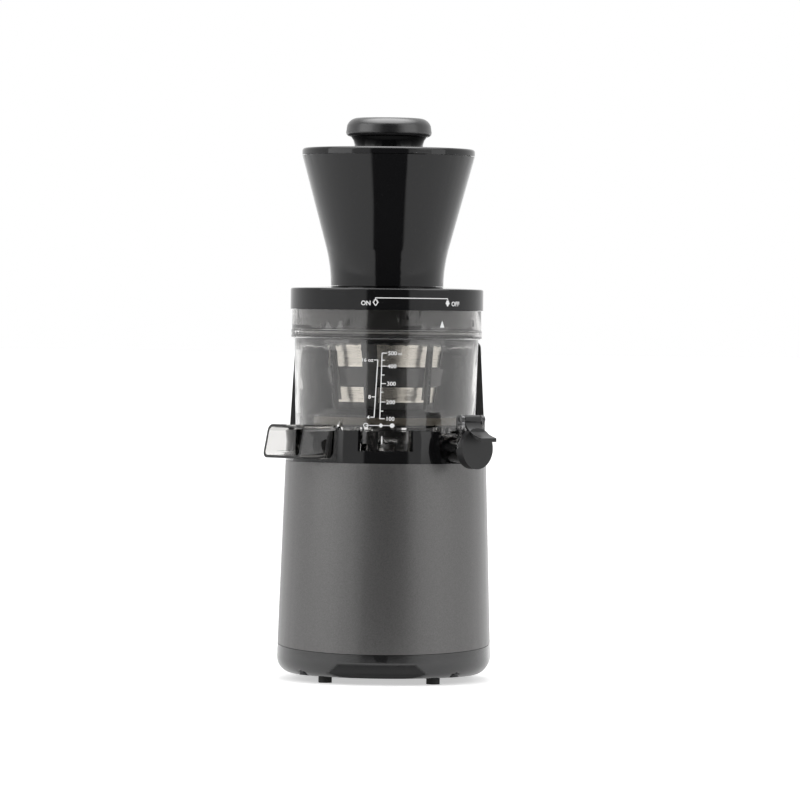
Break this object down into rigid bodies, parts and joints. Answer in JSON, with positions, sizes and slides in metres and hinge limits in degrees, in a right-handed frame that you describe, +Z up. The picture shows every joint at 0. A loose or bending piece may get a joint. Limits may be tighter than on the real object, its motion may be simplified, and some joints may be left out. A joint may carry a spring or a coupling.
{
  "type": "vertical slow juicer",
  "caption": "Upright cold press juicer: motor base with rear column, clear bowl with pulp chute and capped spout, twist-on lid, wide funnel with cover and pusher.",
  "frame": {"origin": "on the auger's vertical axis, in the plane of the rubber feet", "axes": "+Z up along the auger's axis, -Y towards the front with the measuring scale, +X to the juice spout's side"},
  "size_m": [0.1856, 0.2049, 0.4511],
  "materials": {
    "graphite": "satin graphite",
    "gloss_black": "gloss black",
    "matte_black": "fine matt black",
    "smoke_clear": "clear smoke grey",
    "steel": "machined",
    "copper": "enamelled winding",
    "sintered_bronze": "oiled",
    "ivory_plastic": "satin",
    "mesh_metal": "fine perforated",
    "rubber": "matt",
    "silicone": "soft satin",
    "dark_plastic": "satin dark grey",
    "core_steel": "laminated",
    "board_green": "circuit board",
    "capacitor_sleeve": "sleeve"
  },
  "bodies": {
    "base": {"bottom_cover": "matte_black", "rubber_feet": "rubber", "body_shell": "graphite", "upper_housing": "gloss_black", "housing_screws": "steel", "motor_mounts": "rubber", "lower_motor_bracket": "steel", "motor_stator": "core_steel", "motor_windings": "copper", "upper_motor_bracket": "steel", "motor_bearings": "steel", "gearbox_housing": "dark_plastic", "gearbox_cover": "dark_plastic", "gearbox_screws": "steel", "gear_bushes": "sintered_bronze", "layshaft_pin": "steel", "shaft_seal": "rubber", "control_board": "board_green", "capacitor": "capacitor_sleeve", "interlock_sensor": "matte_black", "switch_housing": "matte_black", "cord_gland": "rubber"},
    "motor_rotor": {"rotor_core": "core_steel", "motor_shaft": "steel", "cooling_fan": "matte_black", "motor_pinion": "steel"},
    "layshaft": {"layshaft_gear": "ivory_plastic"},
    "drive": {"output_gear": "steel", "drive_shaft": "steel"},
    "rocker": {"rocker_switch": "gloss_black"},
    "bowl_unit": {"bowl": "smoke_clear", "bowl_seal": "silicone", "idler_pin": "matte_black", "strainer_frame": "dark_plastic", "strainer_mesh": "mesh_metal", "cap_hinge_pin": "steel"},
    "pulp_lever": {"control_lever": "smoke_clear"},
    "idler": {"idler_gear": "ivory_plastic"},
    "brush": {"brush_frame": "dark_plastic", "brush_ring_gear": "ivory_plastic", "wiper_blades": "silicone"},
    "auger": {"auger_gear": "ivory_plastic", "auger_screw": "matte_black", "auger_pin": "steel"},
    "cap": {"juice_cap": "gloss_black", "cap_gasket": "silicone"},
    "lid_ring": {"lid_seal": "silicone"},
    "lid_unit": {"lid": "gloss_black", "lid_bush": "sintered_bronze", "interlock_magnet": "steel"},
    "funnel": {"hopper": "gloss_black"},
    "funnel_cover": {"hopper_lid": "gloss_black"},
    "pusher": {"pusher_stem": "gloss_black", "pusher_knob": "gloss_black"}
  },
  "joints": [
    {"name": "drive_spin", "type": "hinge", "parent": "base", "child": "drive", "pos_m": [0, 0, 0], "axis": [0, 0, 1], "continuous": true},
    {"name": "motor_spin", "type": "hinge", "parent": "base", "child": "motor_rotor", "pos_m": [0, 0, 0], "axis": [0, 0, 1], "continuous": true},
    {"name": "layshaft_spin", "type": "hinge", "parent": "base", "child": "layshaft", "pos_m": [0, 0.0324, 0], "axis": [0, 0, 1], "continuous": true},
    {"name": "rocker_tilt", "type": "hinge", "parent": "base", "child": "rocker", "pos_m": [0, 0.1024, 0.118], "axis": [1, 0, 0], "range_deg": [-8, 8]},
    {"name": "bowl_lift", "type": "slide", "parent": "base", "child": "bowl_unit", "axis": [0, 0, 1], "range_m": [0, 0.12]},
    {"name": "auger_spin", "type": "hinge", "parent": "bowl_unit", "child": "auger", "pos_m": [0, 0, 0], "axis": [0, 0, 1], "continuous": true},
    {"name": "idler_spin", "type": "hinge", "parent": "bowl_unit", "child": "idler", "pos_m": [0.03845, -0.01103, 0], "axis": [0, 0, 1], "continuous": true},
    {"name": "brush_spin", "type": "hinge", "parent": "bowl_unit", "child": "brush", "pos_m": [0, 0, 0], "axis": [0, 0, 1], "continuous": true},
    {"name": "lever_swing", "type": "hinge", "parent": "bowl_unit", "child": "pulp_lever", "pos_m": [0, 0, 0], "axis": [0, 0, 1], "range_deg": [-8, 6]},
    {"name": "cap_open", "type": "hinge", "parent": "bowl_unit", "child": "cap", "pos_m": [0.07177, -0.07177, 0.2114], "axis": [-0.7071, -0.7071, 0], "range_deg": [0, 95]},
    {"name": "lid_lift", "type": "slide", "parent": "bowl_unit", "child": "lid_ring", "axis": [0, 0, 1], "range_m": [0, 0.05]},
    {"name": "lid_turn", "type": "hinge", "parent": "lid_ring", "child": "lid_unit", "pos_m": [0, 0, 0], "axis": [0, 0, 1], "range_deg": [0, 46]},
    {"name": "funnel_lift", "type": "slide", "parent": "lid_unit", "child": "funnel", "axis": [0, 0, 1], "range_m": [0, 0.03]},
    {"name": "cover_lift", "type": "slide", "parent": "funnel", "child": "funnel_cover", "axis": [0, 0, 1], "range_m": [0, 0.03]},
    {"name": "pusher_lift", "type": "slide", "parent": "funnel_cover", "child": "pusher", "axis": [0, 0, 1], "range_m": [0, 0.11]}
  ],
  "couplings": [
    {"joint": "motor_spin", "follows": "drive_spin", "ratio": 25},
    {"joint": "layshaft_spin", "follows": "drive_spin", "ratio": -5},
    {"joint": "auger_spin", "follows": "drive_spin", "ratio": 1},
    {"joint": "idler_spin", "follows": "drive_spin", "ratio": -1.8571},
    {"joint": "brush_spin", "follows": "drive_spin", "ratio": -0.48148}
  ]
}
